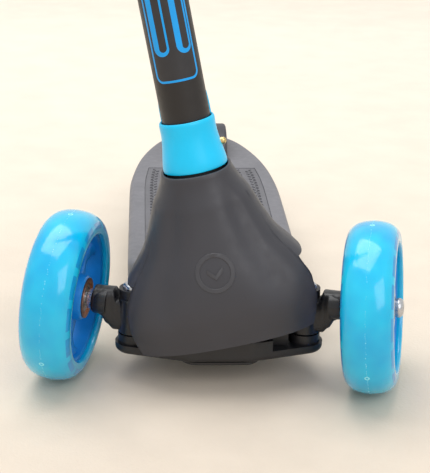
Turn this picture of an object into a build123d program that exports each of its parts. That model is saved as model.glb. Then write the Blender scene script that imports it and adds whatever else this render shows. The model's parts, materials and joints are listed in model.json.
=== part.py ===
"""Child's three-wheel kick scooter that steers by leaning its T-shaped bar.

Frame: origin on the standing face of the deck, on its centre line, where the deck's straight sides
end. +Z is up, +X is the scooter's left, -Y is forward. Millimetres. The steering head is modelled
upright and the wheels straight ahead, and both are then turned to the rest pose: bar fallen over
to the scooter's right against its stop, wheels steered with it.
"""

import math
import os

from build123d import *

# ---- Driving dimensions -------------------------------------------------------------------
ground = -60.0            # the floor, below the standing face

# Front wheels and their knuckles
front_y = -235.0          # front axle line
track = 215.0             # between front wheel centres, wheels straight ahead
wheel_r, wheel_w = 60.0, 36.0
camber = 4.0              # tops of the front wheels lean inwards, degrees
king_x, king_y = 60.0, front_y + 4.0
king_r = 5.0              # kingpin bolt
knuckle_low, knuckle_high = -24.0, 2.0
ear_top = knuckle_high + 6.5   # top of the base's upper kingpin ears
steer_arm = 20.0          # kingpin to tie bar pin
axle_r = 4.0              # M8 axles
running = 0.05            # radial clearance of a shaft in its bore
gap = 0.4                 # side clearance between moving pieces

# Rear wheel
rear_y = 137.0
rear_r, rear_w = 38.0, 24.0
rear_z = ground + rear_r

# Leaning head and its range
lean_z = 4.0              # height of the lean pivot
lean_rest = 11.5          # the bar lies this far over at rest, against its stop, degrees
steer_rest = 14.0         # wheels' angle at the end of the lean, degrees
steer_ratio = steer_rest / lean_rest
tongue = steer_arm * steer_ratio      # lever below the lean pivot that drives the tie bar
pivot_y = front_y + 13.0
pivot_r = 6.0
barrel_half = 25.0        # half the length of the head's pivot barrel

# Column and T-bar
rake = 4.0                # the column leans back, degrees
column_z = 14.0           # heights along the column count from here
tube_r, tube_bore = 16.6, 14.6
tube_foot, tube_top = 24.0, 330.0
inner_r, inner_bore = 14.5, 12.7
inner_foot, inner_top = 190.0, 570.0
collar_low, collar_high = 79.5, 114.0
button_height = 94.0
bar_r, bar_half, grip_r, grip_length = 11.0, 125.0, 15.5, 88.0

# Deck
deck_front, deck_end, deck_half = front_y + 62.0, 194.0, 65.0
tail_power = 2.15         # 2 would be a true ellipse
deck_top, deck_low, deck_wall = -0.6, -15.0, 3.5
slot_half, slot_end = 16.0, 183.0     # window for the rear wheel
mat_inset = 13.0

# Front base
base_low, base_high = -38.0, -31.0

# ---- Placing helpers ----------------------------------------------------------------------
lean_axis = Axis((0, pivot_y, lean_z), (0, 1, 0))
column = Location((0, pivot_y, column_z), (-rake, 0, 0))


def leaned(shape):
    """Lays an upright head piece over to the rest pose."""
    return shape.rotate(lean_axis, -lean_rest)


def king_axis(side):
    return Axis((side * king_x, king_y, 0), (0, 0, 1))


def steered(shape, side):
    """Turns a knuckle or wheel piece from straight ahead to the rest pose."""
    return shape.rotate(king_axis(side), -steer_rest)


def wheel_place(side):
    """Wheel frame: local +X points outboard along the cambered axle."""
    turn = 0 if side > 0 else 180
    return Pos(side * track / 2, front_y, 0) * Rot(0, 0, turn) * Rot(0, -camber, 0)


def rod_x(radius, low, high, y=0.0, z=0.0):
    return Pos((low + high) / 2, y, z) * Rot(0, 90, 0) * Cylinder(radius, high - low)


def rod_y(radius, low, high, x=0.0, z=0.0):
    return Pos(x, (low + high) / 2, z) * Rot(90, 0, 0) * Cylinder(radius, high - low)


def rod_z(radius, low, high, x=0.0, y=0.0):
    return Pos(x, y, (low + high) / 2) * Cylinder(radius, high - low)


def block(x0, x1, y0, y1, z0, z1):
    return Pos((x0 + x1) / 2, (y0 + y1) / 2, (z0 + z1) / 2) * Box(x1 - x0, y1 - y0, z1 - z0)


def hex_z(across, low, high, x=0.0, y=0.0):
    sketch = RegularPolygon(across / math.sqrt(3), 6)
    return Pos(x, y, low) * extrude(sketch, amount=high - low)


def pan_head(radius, height):
    """Low domed screw head standing on the XY plane."""
    dome = Pos(0, 0, height / 2) * Cylinder(radius, height)
    return fillet(dome.edges().group_by(Axis.Z)[-1], height * 0.8)


def group(shapes):
    """Keeps identical loose pieces together as separate solids of one node."""
    return Compound([solid for shape in shapes for solid in shape.solids()])


def save(shape, name):
    export_step(shape, f"parts/{name}.step")


# ---- Deck ---------------------------------------------------------------------------------
def tail_half(y):
    """Half width of the deck's rounded tail, a slightly squared ellipse."""
    share = min(max(y / deck_end, 0.0), 1.0)
    return deck_half * (1.0 - share ** tail_power) ** (1 / tail_power)


def deck_outline(inset=0.0, front=deck_front):
    """Straight sides with rounded front corners, closed by the rounded tail."""
    half, end, corner = deck_half - inset, deck_end - inset, 24.0 - inset
    shares = (0.3, 0.55, 0.75, 0.9)
    right = [(half * tail_half(s * deck_end) / deck_half, s * end) for s in shares]
    left = [(-x, y) for x, y in reversed(right)]
    tail = Spline([(half, 0), *right, (0, end), *left, (-half, 0)], tangents=[(0, 1), (0, -1)])
    y0 = front + inset
    edges = [
        tail,
        Line((-half, 0), (-half, y0 + corner)),
        RadiusArc((-half, y0 + corner), (-half + corner, y0), -corner),
        Line((-half + corner, y0), (half - corner, y0)),
        RadiusArc((half - corner, y0), (half, y0 + corner), -corner),
        Line((half, y0 + corner), (half, 0)),
    ]
    return make_face(edges)


def deck_shell():
    body = Pos(0, 0, deck_low) * extrude(deck_outline(), amount=deck_top - deck_low)
    body = fillet(body.edges().group_by(Axis.Z)[-1], 5.0)
    body -= Pos(0, 0, deck_low) * extrude(deck_outline(deck_wall), amount=9.6)
    rib_top = deck_low + 9.7
    inner = extrude(deck_outline(deck_wall - 0.5), amount=rib_top - deck_low - 1.5)
    inner = Pos(0, 0, deck_low + 1.5) * inner
    for x in (-36, 0, 36):
        body += inner & block(x - 1.25, x + 1.25, deck_front + 60, rear_y - 50, deck_low, rib_top)
    for y in range(-100, 100, 40):
        body += inner & block(-deck_half, deck_half, y - 1.25, y + 1.25, deck_low, rib_top)
    for side in (-1, 1):
        body += inner & block(*sorted((side * slot_half, side * (slot_half + 6))), rear_y - 52,
                              slot_end + 4, deck_low, rib_top)
    for y in (rear_y - 58, slot_end):
        body += inner & block(-slot_half - 6, slot_half + 6, y, y + 8, deck_low, rib_top)
    body -= block(-slot_half, slot_half, rear_y - 50, slot_end, deck_low - 5, 5)
    for side in (-1, 1):
        ear = block(*sorted((side * slot_half, side * (slot_half + 6))), rear_y - 16, rear_y + 16,
                    rear_z + 4, deck_low + 4)
        ear += rod_x(12, *sorted((side * slot_half, side * (slot_half + 6))), rear_y, rear_z)
        body += ear
    body -= rod_x(axle_r, -40, 40, rear_y, rear_z)
    body -= rod_x(3.0, -26, 26, brake_y, brake_z)
    pocket = Pos(0, 0, deck_top - 1.0) * extrude(mat_outline(), amount=3)
    body -= pocket
    for x, y in deck_screw_places:
        body += rod_z(6, deck_low, deck_low + 10, x, y)
        body -= rod_z(2.5, deck_low - 1, deck_low + 9, x, y)
    return body


mat_front, mat_end = deck_front + 14.0, rear_y - 62.0


def mat_outline():
    face = deck_outline(mat_inset, deck_front)
    strip = Pos(0, (mat_front + mat_end) / 2) * Rectangle(2 * deck_half, mat_end - mat_front)
    return face & strip


def grip_mat():
    return Pos(0, 0, deck_top - 1.0) * extrude(mat_outline(), amount=1.0 - deck_top)


deck_screw_places = [(x, y) for x in (-20, 20) for y in (deck_front + 20, deck_front + 46)]


# ---- Front base ---------------------------------------------------------------------------
def base_outline(inset=0.0):
    """Wide over the kingpins, rounded at the nose, narrow where it runs back under the deck."""
    circles = [
        (king_x, king_y, 13.0), (-king_x, king_y, 13.0),
        (18.0, front_y - 4.0, 18.0), (-18.0, front_y - 4.0, 18.0),
        (26.0, deck_front + 50.0, 8.0), (-26.0, deck_front + 50.0, 8.0),
    ]
    edges = []
    for x, y, radius in circles:
        edges += (Pos(x, y) * Circle(radius - inset)).edges()
    return make_hull(edges)


cheek_front = pivot_y - barrel_half - gap
cheek_rear = pivot_y + barrel_half + gap


def front_base():
    body = Pos(0, 0, base_low) * extrude(base_outline(), amount=base_high - base_low)
    body = fillet(body.edges().group_by(Axis.Z)[0], 4.0)
    nose = extrude(base_outline(), amount=10) - extrude(base_outline(4.0), amount=10)
    nose = Pos(0, 0, base_high - 0.5) * nose
    body += nose & block(-36, 36, front_y - 40, front_y - 10, base_high - 0.5, base_high + 8)
    for side in (-1, 1):
        x0, x1 = sorted((side * 28, side * (king_x - 12.5)))
        body += block(x0, x1, king_y - 10, king_y + 10, base_high - 1, ear_top)
        body += rod_z(11, base_high - 1, knuckle_low - gap, side * king_x, king_y)
        x0, x1 = sorted((side * 28, side * king_x))
        body += block(x0, x1, king_y - 10, king_y + 10, knuckle_high + gap, ear_top)
        body += rod_z(10, knuckle_high + gap, ear_top, side * king_x, king_y)
    for y0, y1 in ((cheek_front - 6, cheek_front), (cheek_rear, cheek_rear + 6)):
        cheek = block(-17, 17, y0, y1, base_high - 1, lean_z)
        cheek += rod_y(17, y0, y1, 0, lean_z)
        body += cheek
    body += block(-26, 26, deck_front + 2, deck_front + 54, base_high - 1, deck_low)
    body += block(-26, 26, cheek_rear + 5, deck_front + 2, base_high - 1, deck_low - 2)
    for side in (-1, 1):
        body -= rod_z(king_r, base_low - 1, 15, side * king_x, king_y)
        body -= hex_z(16.2, base_low - 1, base_low + 4.5, side * king_x, king_y)
    body -= rod_y(pivot_r, cheek_front - 10, cheek_rear + 10, 0, lean_z)
    for x, y in deck_screw_places:
        body -= rod_z(3.2, base_low - 1, deck_low + 1, x, y)
        body -= rod_z(6.0, base_low - 1, base_low + 8, x, y)
    for x, y in cover_screw_places:
        body -= rod_z(1.6, base_low - 1, base_low + 6, x, y)
    return body


def deck_screws():
    screws = []
    for x, y in deck_screw_places:
        shank = rod_z(2.5, base_low + 7.5, deck_low + 9, x, y)
        head = rod_z(5.2, base_low + 4, base_low + 8, x, y)
        socket = hex_z(4.0, base_low + 3.5, base_low + 6.2, x, y)
        screws.append(shank + head - socket)
    return group(screws)


under_plate_low = base_low - 2.4
cover_screw_places = [(x, y) for x in (-20, 20) for y in (front_y - 12, front_y + 34)]


def under_cover():
    outline = Pos(0, front_y + 11) * RectangleRounded(56, 62, 12)
    plate = Pos(0, 0, under_plate_low) * extrude(outline, amount=base_low - under_plate_low)
    plate = fillet(plate.edges().group_by(Axis.Z)[0], 1.5)
    for x, y in cover_screw_places:
        plate -= rod_z(1.6, under_plate_low - 1, base_low + 1, x, y)
    return plate


def under_cover_screws():
    screws = []
    for x, y in cover_screw_places:
        head = Pos(x, y, under_plate_low) * Rot(180, 0, 0) * pan_head(3.2, 1.8)
        screws.append(head + rod_z(1.6, under_plate_low, base_low + 5, x, y))
    return group(screws)


def kingpin_bolts():
    bolts = []
    for side in (-1, 1):
        bolt = rod_z(king_r, base_low + 1.5, ear_top, side * king_x, king_y)
        head = Pos(side * king_x, king_y, ear_top) * pan_head(7.5, 3.2)
        head -= hex_z(5.0, ear_top + 1.2, ear_top + 5, side * king_x, king_y)
        bolts.append(bolt + head)
    return group(bolts)


def kingpin_nuts():
    nuts = []
    for side in (-1, 1):
        nut = hex_z(16.0, base_low, base_low + 4.5, side * king_x, king_y)
        nuts.append(nut - rod_z(king_r, base_low - 1, base_low + 5, side * king_x, king_y))
    return group(nuts)


def lean_bolt():
    bolt = rod_y(pivot_r, cheek_front - 6, cheek_rear + 13, 0, lean_z)
    return bolt + rod_y(9.5, cheek_front - 9, cheek_front - 6, 0, lean_z)


def lean_nut():
    nut = Pos(0, cheek_rear + 12, lean_z) * Rot(90, 0, 0) * extrude(RegularPolygon(10, 6), amount=6)
    return nut - rod_y(pivot_r, cheek_rear, cheek_rear + 20, 0, lean_z)


stop_top = -16.0          # top of the rubber stops
stop_lift = 4.3           # upright head's stop plate above them


def lean_stops():
    """Rubber blocks on the base that the head's stop plate lands on at each end of the lean."""
    stops = []
    for side in (-1, 1):
        stop = block(*sorted((side * 13, side * 23)), pivot_y - 20, pivot_y - 8, base_high, stop_top)
        stops.append(fillet(stop.edges().group_by(Axis.Z)[-1], 1.5))
    return group(stops)


# ---- Tie bar and knuckles -----------------------------------------------------------------
tie_y = king_y + steer_arm
tie_low, tie_high = base_high + gap, base_high + gap + 5.0
steer_low, steer_high = knuckle_low, knuckle_low + 6.0


def tie_bar():
    bar = block(-king_x, king_x, tie_y - 5, tie_y + 5, tie_low, tie_high)
    for side in (-1, 1):
        bar += rod_z(6.5, tie_low, tie_high, side * king_x, tie_y)
        x0, x1 = sorted((side * 5.0, side * 9.5))
        bar += block(x0, x1, tie_y - 5, tie_y + 5, tie_high - 1, lean_z - tongue + 6)
        bar -= rod_z(3.0, tie_low - 1, tie_high + 1, side * king_x, tie_y)
    return bar.moved(Pos(tie_shift, 0, 0))


def tie_pins():
    pins = [rod_z(3.0, tie_low, steer_high - 0.5, side * king_x, tie_y) for side in (-1, 1)]
    return group(pins).moved(Pos(tie_shift, 0, 0))


tie_shift = steer_arm * math.radians(steer_rest)


def knuckle(side):
    """Kingpin boss, arm out to the axle boss, and steering arm back to the tie bar."""
    boss = rod_z(11, knuckle_low, knuckle_high, side * king_x, king_y)
    stations = [          # distance from the kingpin, shift forward, mid height, width, height
        (3.0, 0.0, -10.5, 17.0, 24.5), (10.3, 0.0, -10.5, 16.5, 24.5),
        (13.5, 1.0, -7.6, 15.5, 30.5), (84.5 - king_x, 4.0, 0.2, 16.0, 18.0),
    ]
    faces = []
    for out, ahead, middle, width, height in stations:
        centre = (side * (king_x + out), king_y - ahead, middle)
        place = Plane(centre, x_dir=(0, 1, 0), z_dir=(side, 0, 0))
        faces.append(place * RectangleRounded(width, height, 6))
    arm = loft(faces, ruled=True)
    axle_boss = wheel_place(side) * rod_x(9.5, -26, -wheel_w / 2 - 1.4)
    back = block(*sorted((side * (king_x - 6.5), side * (king_x + 6.5))), king_y, tie_y,
                 steer_low, steer_high)
    back += rod_z(6.5, steer_low, steer_high, side * king_x, tie_y)
    body = boss + arm + axle_boss + back
    slot = rod_z(3.3, steer_low - 1, steer_high + 1, side * king_x, tie_y - 1.2)
    slot += rod_z(3.3, steer_low - 1, steer_high + 1, side * king_x, tie_y + 1.2)
    slot += block(side * king_x - 3.3, side * king_x + 3.3, tie_y - 1.2, tie_y + 1.2,
                  steer_low - 1, steer_high + 1)
    body -= slot
    body -= rod_z(king_r + running, knuckle_low - 2, knuckle_high + 6, side * king_x, king_y)
    body -= wheel_place(side) * rod_x(axle_r, -34, 0)
    return steered(body, side)


def axle_bolt(side):
    """M8 bolt through the wheel into the knuckle, with a domed head outboard."""
    bolt = rod_x(axle_r, -34, wheel_w / 2 - 1.0)
    head = Pos(wheel_w / 2 - 1.6, 0, 0) * Rot(0, 90, 0) * pan_head(6.8, 4.6)
    head -= Pos(wheel_w / 2 + 1.2, 0, 0) * Rot(0, 90, 0) * extrude(RegularPolygon(2.9, 6), amount=4)
    return steered(wheel_place(side) * (bolt + head), side)


def axle_washers(side):
    ring = rod_x(7.0, -wheel_w / 2 - 1.4, -wheel_w / 2 + 1.3) - rod_x(axle_r, -30, 30)
    outer = rod_x(6.4, wheel_w / 2 - 3.0, wheel_w / 2 - 1.6) - rod_x(axle_r, -30, 30)
    return steered(wheel_place(side) * group([ring, outer]), side)


# ---- Front wheels -------------------------------------------------------------------------
hub_half = 14.5           # half length of the hub barrel
rim_r, tooth_r, rim_half = 49.0, 54.5, 13.5
bearing_r, bearing_w = 11.0, 7.0
tooth_count, spoke_count, light_count = 15, 6, 3


def light_block():
    return Pos(0, 0, 52.2) * Box(12, 9, 6.2)


def wheel_core(side):
    """Hub barrel, tapered spokes, rim, and the rim's teeth that key the soft tyre."""
    rim = rod_x(rim_r, -rim_half, rim_half) - rod_x(43.0, -30, 30)
    hub = rod_x(16.0, -hub_half, hub_half)
    spoke_face = Polyline([(-6.5, 12), (6.5, 12), (4.2, 44.5), (-4.2, 44.5)], close=True)
    spoke = Rot(0, 90, 0) * Rot(0, 0, 90) * extrude(make_face(spoke_face), amount=6, both=True)
    body = rim + hub
    for k in range(spoke_count):
        body += Rot(k * 360 / spoke_count, 0, 0) * spoke
    tooth = Pos(0, 0, (rim_r + tooth_r) / 2 - 0.5) * Box(20, 15.5, tooth_r - rim_r + 1)
    for k in range(tooth_count):
        if k % (tooth_count // light_count):
            body += Rot(k * 360 / tooth_count, 0, 0) * tooth
    for end in (-1, 1):
        low, high = sorted((end * hub_half, end * (hub_half - bearing_w)))
        body -= rod_x(bearing_r, low, high)
    body -= rod_x(axle_r + 2, -30, 30)
    body -= rod_x(14.2, -hub_half, -hub_half + 3.5)
    return steered(wheel_place(side) * body, side)


def tyre_profile():
    """Half section of the tyre: crowned tread, round shoulders, flat sides."""
    half, shoulder = wheel_w / 2, 12.0
    inner = 44.0
    side_top = wheel_r - shoulder - 0.8
    edges = [
        Line((-half + 3, inner), (half - 3, inner)),
        Line((half - 3, inner), (half, inner + 3)),
        Line((half, inner + 3), (half, side_top)),
        Spline([(half, side_top), (half - 3.6, wheel_r - 4.0), (0, wheel_r),
                (-half + 3.6, wheel_r - 4.0), (-half, side_top)], tangents=[(0, 1), (0, -1)]),
        Line((-half, side_top), (-half, inner + 3)),
        Line((-half, inner + 3), (-half + 3, inner)),
    ]
    return make_face(edges)


def wheel_tyre(side):
    ring = revolve(tyre_profile(), Axis.X, 360)
    ring -= rod_x(rim_r, -rim_half, rim_half)
    ring -= rod_x(46.0, -30, 30)
    tooth = Pos(0, 0, (rim_r + tooth_r) / 2 - 0.5) * Box(20, 15.5, tooth_r - rim_r + 1)
    for k in range(tooth_count):
        if k % (tooth_count // light_count):
            ring -= Rot(k * 360 / tooth_count, 0, 0) * tooth
        else:
            ring -= Rot(k * 360 / tooth_count, 0, 0) * light_block()
    return steered(wheel_place(side) * ring, side)


def wheel_lights(side):
    """Clear lamp capsules buried in the tyre, standing on the rim between its teeth."""
    lamps = [Rot(k * 360 / light_count, 0, 0) * light_block() for k in range(light_count)]
    rim = rod_x(rim_r, -30, 30)
    return steered(wheel_place(side) * group([lamp - rim for lamp in lamps]), side)


def bearing(low, high, outer=bearing_r, bore=axle_r + running):
    body = rod_x(outer, low, high) - rod_x(bore, low - 1, high + 1)
    for face, depth in ((low, 0.6), (high, 0.6)):
        groove = rod_x(9.2, face - depth, face + depth) - rod_x(6.2, face - 1, face + 1)
        body -= groove
    return body


def wheel_bearings(side):
    pair = [bearing(-hub_half, -hub_half + bearing_w), bearing(hub_half - bearing_w, hub_half)]
    return steered(wheel_place(side) * group(pair), side)


def dynamo_ring(side):
    """Copper winding of the wheel's lamp generator, round the inboard bearing."""
    ring = rod_x(14.2, -hub_half - 1.0, -hub_half + 3.5) - rod_x(bearing_r, -30, 30)
    return steered(wheel_place(side) * ring, side)


# ---- Leaning head -------------------------------------------------------------------------
def on_column(shape):
    """Places a piece built round the local Z axis on the raked column, upright."""
    return column * shape


def steering_head():
    barrel = rod_y(13, pivot_y - barrel_half, pivot_y + barrel_half, 0, lean_z)
    socket = on_column(rod_z(20.5, -8, collar_low - 0.5))
    tongue_low = lean_z - tongue
    tail = block(-3.4, 3.4, tie_y - 4, tie_y + 4, tongue_low, lean_z)
    tail += rod_y(4.6, tie_y - 4, tie_y + 4, 0, tongue_low)
    stop = block(-22, 22, pivot_y - 19, pivot_y - 9, stop_top + stop_lift, lean_z)
    body = barrel + socket + tail + stop
    body -= rod_y(8.0, pivot_y - 40, pivot_y + 40, 0, lean_z)
    body -= on_column(rod_z(tube_r, tube_foot, 200))
    body -= on_column(rod_x(3.2, -30, 30, 0, screw_height))
    return leaned(body)


screw_height = 36.0


def lean_bushes():
    """Flanged nylon bushes pressed into the barrel's ends."""
    bushes = []
    for end in (-1, 1):
        low, high = sorted((end * barrel_half, end * (barrel_half - 16)))
        bush = rod_y(8.0, pivot_y + low, pivot_y + high, 0, lean_z)
        bushes.append(bush - rod_y(pivot_r + running, pivot_y - 40, pivot_y + 40, 0, lean_z))
    return leaned(group(bushes))


def cover_section(half, front, rear, widest, z):
    """One level of the nose cover: two half superellipses that meet at its widest line."""
    power, points = 2.4, []
    for k in range(24):
        angle = 2 * math.pi * k / 24
        c, s = math.cos(angle), math.sin(angle)
        x = half * math.copysign(abs(c) ** (2 / power), c)
        depth = rear if s > 0 else front
        y = widest + depth * math.copysign(abs(s) ** (2 / power), s)
        points.append((x, front_y + y, z + ground))
    return make_face(Spline(points, periodic=True))


# Levels of the nose cover: height over the floor, half width, front, rear and widest line.
cover_levels = [
    (38, 63.0, -31, 54, -2), (50, 66.5, -33, 55, -2), (62, 67.5, -34, 56, 0),
    (76, 64.0, -32, 56, 2), (90, 54.5, -28, 54, 6), (103, 45.5, -23, 51, 9),
    (118, 39.5, -18, 47, 13), (133, 34.5, -13, 45, 16), (143, 29.0, -9, 44, 18),
    (150.8, 25.0, -7, 43, 18),
]
cover_wall = 2.8


def cover_loft(inset):
    faces = []
    for z, half, front, rear, widest in cover_levels:
        depths = widest - front - inset, rear - widest - inset
        faces.append(cover_section(half - inset, *depths, widest, z))
    return loft(faces)


def nose_cover():
    body = cover_loft(0.0) - cover_loft(cover_wall)
    body -= on_column(rod_z(21.0, 60, 140))
    skirt_z = 26.0            # its lower side clears the kingpin heads at full lean
    for side in (-1, 1):
        body -= block(*sorted((side * 30, side * 90)), front_y - 14, front_y + 80, ground, skirt_z)
    body -= block(-31, 31, front_y + 20, front_y + 80, ground, 7)
    for side in (-1, 1):
        boss = on_column(rod_x(5.0, *sorted((side * 21.0, side * 44)), 0, screw_height))
        body += (boss & cover_loft(1.0)) - on_column(rod_z(21.0, 0, 140))
    body -= on_column(rod_x(2.0, -60, 60, 0, screw_height))
    for side in (-1, 1):
        body -= on_column(rod_x(4.2, *sorted((side * 36.5, side * 80)), 0, screw_height))
    return leaned(body)


def cover_screws():
    """One screw each side, through the cover's boss into the head."""
    screws = []
    for side in (-1, 1):
        shank = rod_x(2.0, *sorted((side * 20.5, side * 36.5)), 0, screw_height)
        head = Pos(side * 36.5, 0, screw_height) * Rot(0, side * 90, 0) * pan_head(3.8, 2.2)
        thread = rod_x(3.2, *sorted((side * 17.0, side * 20.5)), 0, screw_height)
        screws.append(on_column(shank + head + thread))
    return leaned(group(screws))


badge_place = Location((0, front_y - 27.6, 92 + ground), (72, 0, 0))


def cover_badge():
    """Round embossed badge with a plain chevron, let into the front of the cover."""
    ring = Circle(13.5) - Circle(11.2)
    chevron = Polyline([(-6, 4), (0, -2), (6, 4), (6, 0), (0, -6), (-6, 0)], close=True)
    mark = ring + make_face(chevron)
    skin = cover_loft(-0.7) - cover_loft(0.0)
    return leaned(badge_place * extrude(mark, amount=7.0, both=True) & skin)


def collar():
    """Coloured collar that sockets the column over the cover, with a tongue up the back."""
    height = collar_high - collar_low
    profile = make_face([
        Polyline([(tube_r + 0.3, 0), (tube_r + 5.6, 0)]),
        Spline([(tube_r + 5.6, 0), (tube_r + 4.6, 8), (tube_r + 2.9, 18), (tube_r + 2.3, height - 4)],
               tangents=[(0, 1), (0, 1)]),
        RadiusArc((tube_r + 2.3, height - 4), (tube_r + 0.3, height), -4.6),
        Line((tube_r + 0.3, height), (tube_r + 0.3, 0)),
    ])
    body = revolve(Plane.XZ * profile, Axis.Z, 360)
    sleeve = rod_z(tube_r + 3.6, 3, height + 26) - rod_z(tube_r + 0.3, 0, height + 30)
    arch = block(-11, 11, 5, 30, 3, height + 15) + rod_y(11, 5, 30, 0, height + 15)
    body += sleeve & arch
    body -= rod_x(2.6, 0, 40, 0, button_height - collar_low)
    return leaned(on_column(Pos(0, 0, collar_low) * body))


def lower_tube():
    body = rod_z(tube_r, tube_foot, tube_top) - rod_z(tube_bore, tube_foot - 1, tube_top + 1)
    body -= rod_x(2.6, 0, 40, 0, button_height)
    body -= block(-1.5, 1.5, 0, 40, tube_top - 28, tube_top + 1)
    return leaned(on_column(body))


def snap_button():
    """Sprung brass button that locks the column in its collar."""
    pin = rod_x(2.5, 10.5, 21.5, 0, button_height) + Pos(21.5, 0, button_height) * Sphere(2.5)
    flange = rod_x(3.8, 10.5, 12.3, 0, button_height)
    return leaned(on_column(pin + flange))


def button_spring():
    """Folded leaf inside the column that pushes the button out."""
    legs = block(-13.2, -12.4, -3, 3, button_height - 12, button_height + 6)
    legs += block(5.2, 6.0, -3, 3, button_height - 12, button_height + 6)
    legs += block(-13.2, 6.0, -3, 3, button_height - 12.8, button_height - 12)
    return leaned(on_column(legs))


clamp_low, clamp_high = tube_top - 24.0, tube_top + 2.0
clamp_r = tube_r + 3.6
ear_y, lever_x = clamp_r + 6.0, 12.5
lever_travel = 100        # degrees from closed to open


def clamp_band():
    """Split band that squeezes the lower tube on the upper one."""
    body = rod_z(clamp_r, clamp_low, clamp_high) - rod_z(tube_r, clamp_low - 1, tube_top)
    body -= rod_z(inner_r + 0.4, clamp_low - 1, clamp_high + 1)
    for side in (-1, 1):
        x0, x1 = sorted((side * 1.5, side * 7.5))
        body += block(x0, x1, clamp_r - 2, ear_y + 5, clamp_low + 3, clamp_high - 5)
    body -= block(-1.5, 1.5, 0, 60, clamp_low - 1, clamp_high + 1)
    body -= rod_x(2.5, -20, 20, ear_y, clamp_bolt_z)
    return leaned(on_column(body))


clamp_bolt_z = (clamp_low + 3 + clamp_high - 5) / 2


def clamp_bolt():
    """Draw bolt with a nut at one end and the lever's cross pin at the other."""
    bolt = rod_x(2.5, -11.5, lever_x + 2.4, ear_y, clamp_bolt_z)
    bolt += rod_z(2.4, clamp_bolt_z - 8, clamp_bolt_z + 8, lever_x, ear_y)
    return leaned(on_column(bolt))


def clamp_nut():
    nut = Pos(-11.5, ear_y, clamp_bolt_z) * Rot(0, 90, 0) * extrude(RegularPolygon(5, 6), amount=4)
    nut -= rod_x(2.5, -20, 0, ear_y, clamp_bolt_z)
    return leaned(on_column(nut))


def clamp_lever():
    """Cam lever on the cross pin, its handle lying round the band when closed."""
    cam = rod_z(4.7, clamp_bolt_z - 8, clamp_bolt_z + 8, lever_x, ear_y)
    ring = Circle(clamp_r + 5.2) - Circle(clamp_r + 1.0)
    sector = Polyline([(0, 0), (30, 60), (70, 60), (70, -50), (14, -60)], close=True)
    handle = Pos(0, 0, clamp_bolt_z - 8) * extrude(ring & make_face(sector), amount=16)
    link = block(lever_x - 1, lever_x + 6.5, ear_y - 9, ear_y, clamp_bolt_z - 8, clamp_bolt_z + 8)
    link -= rod_z(clamp_r + 1.0, clamp_bolt_z - 10, clamp_bolt_z + 10)
    body = cam + handle + link
    body -= rod_z(2.4 + running, clamp_bolt_z - 9, clamp_bolt_z + 9, lever_x, ear_y)
    low, high = clamp_bolt_z - 3, clamp_bolt_z + 3
    body -= rod_z(3.9, low, high, lever_x, ear_y)
    for turn in range(0, lever_travel + 20, 20):
        slot = Rot(0, 0, -turn) * block(-20, 0, -3, 3, low, high)
        body -= Pos(lever_x, ear_y) * slot
    return leaned(on_column(body))


# ---- T-bar --------------------------------------------------------------------------------
def upper_tube():
    body = rod_z(inner_r, inner_foot, inner_top - 11.5) - rod_z(inner_bore, inner_foot - 1, inner_top)
    return leaned(on_column(body))


def tee_joint():
    """Moulded tee that takes the upper tube below and the crossbar through it."""
    body = rod_z(18, inner_top - 38, inner_top) + rod_x(16, -26, 26, 0, inner_top)
    body = fillet(body.edges().filter_by(GeomType.CIRCLE), 1.5)
    body -= rod_z(inner_r, inner_top - 40, inner_top - 11.5)
    body -= rod_x(bar_r, -40, 40, 0, inner_top)
    return leaned(on_column(body))


def crossbar():
    body = rod_x(bar_r, -bar_half, bar_half, 0, inner_top) - rod_x(bar_r - 1.6, -200, 200, 0, inner_top)
    return leaned(on_column(body))


def grip(side):
    """Ribbed rubber grip with a safety flange at its outer end."""
    end = bar_half
    low = end - grip_length
    profile = [(low, bar_r), (low, grip_r + 3), (low + 4, grip_r + 3), (low + 5, grip_r - 1.4)]
    ribs = 9
    step = (grip_length - 15) / ribs
    for k in range(ribs):
        x = low + 5 + k * step
        profile += [(x + 1.0, grip_r), (x + step - 1.6, grip_r), (x + step, grip_r - 1.4)]
    profile += [(end - 6, grip_r + 6), (end, grip_r + 6), (end, bar_r)]
    body = revolve(Plane.XY * make_face(Polyline(profile, close=True)), Axis.X, 360)
    turn = 0 if side > 0 else 180
    return leaned(on_column(Pos(0, 0, inner_top) * Rot(0, 0, turn) * body))


def bar_plugs():
    plugs = []
    for side in (-1, 1):
        cap = Pos(side * bar_half, 0, inner_top) * Rot(0, side * 90, 0) * pan_head(bar_r + 1.5, 2.5)
        stem = rod_x(bar_r - 1.6, *sorted((side * (bar_half - 12), side * bar_half)), 0, inner_top)
        plugs.append(on_column(cap + stem))
    return leaned(group(plugs))


# ---- Rear wheel and brake -----------------------------------------------------------------
brake_y, brake_z = rear_y - 43.0, -7.5
brake_travel = 3.0        # fender edge clears the deck this far down, degrees
fender_inner, fender_outer = rear_r + 3.2, rear_r + 6.4


def rear_tyre():
    half = rear_w / 2
    profile = make_face([
        Line((-half + 2, 24), (half - 2, 24)),
        Line((half - 2, 24), (half, 26)),
        Line((half, 26), (half, rear_r - 7)),
        Spline([(half, rear_r - 7), (4, rear_r)], tangents=[(0, 1), (-1, 0)]),
        Line((4, rear_r), (-4, rear_r)),
        Spline([(-4, rear_r), (-half, rear_r - 7)], tangents=[(-1, 0), (0, -1)]),
        Line((-half, rear_r - 7), (-half, 26)),
        Line((-half, 26), (-half + 2, 24)),
    ])
    ring = revolve(profile, Axis.X, 360) - rod_x(28, -8, 8)
    return Pos(0, rear_y, rear_z) * ring


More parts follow.
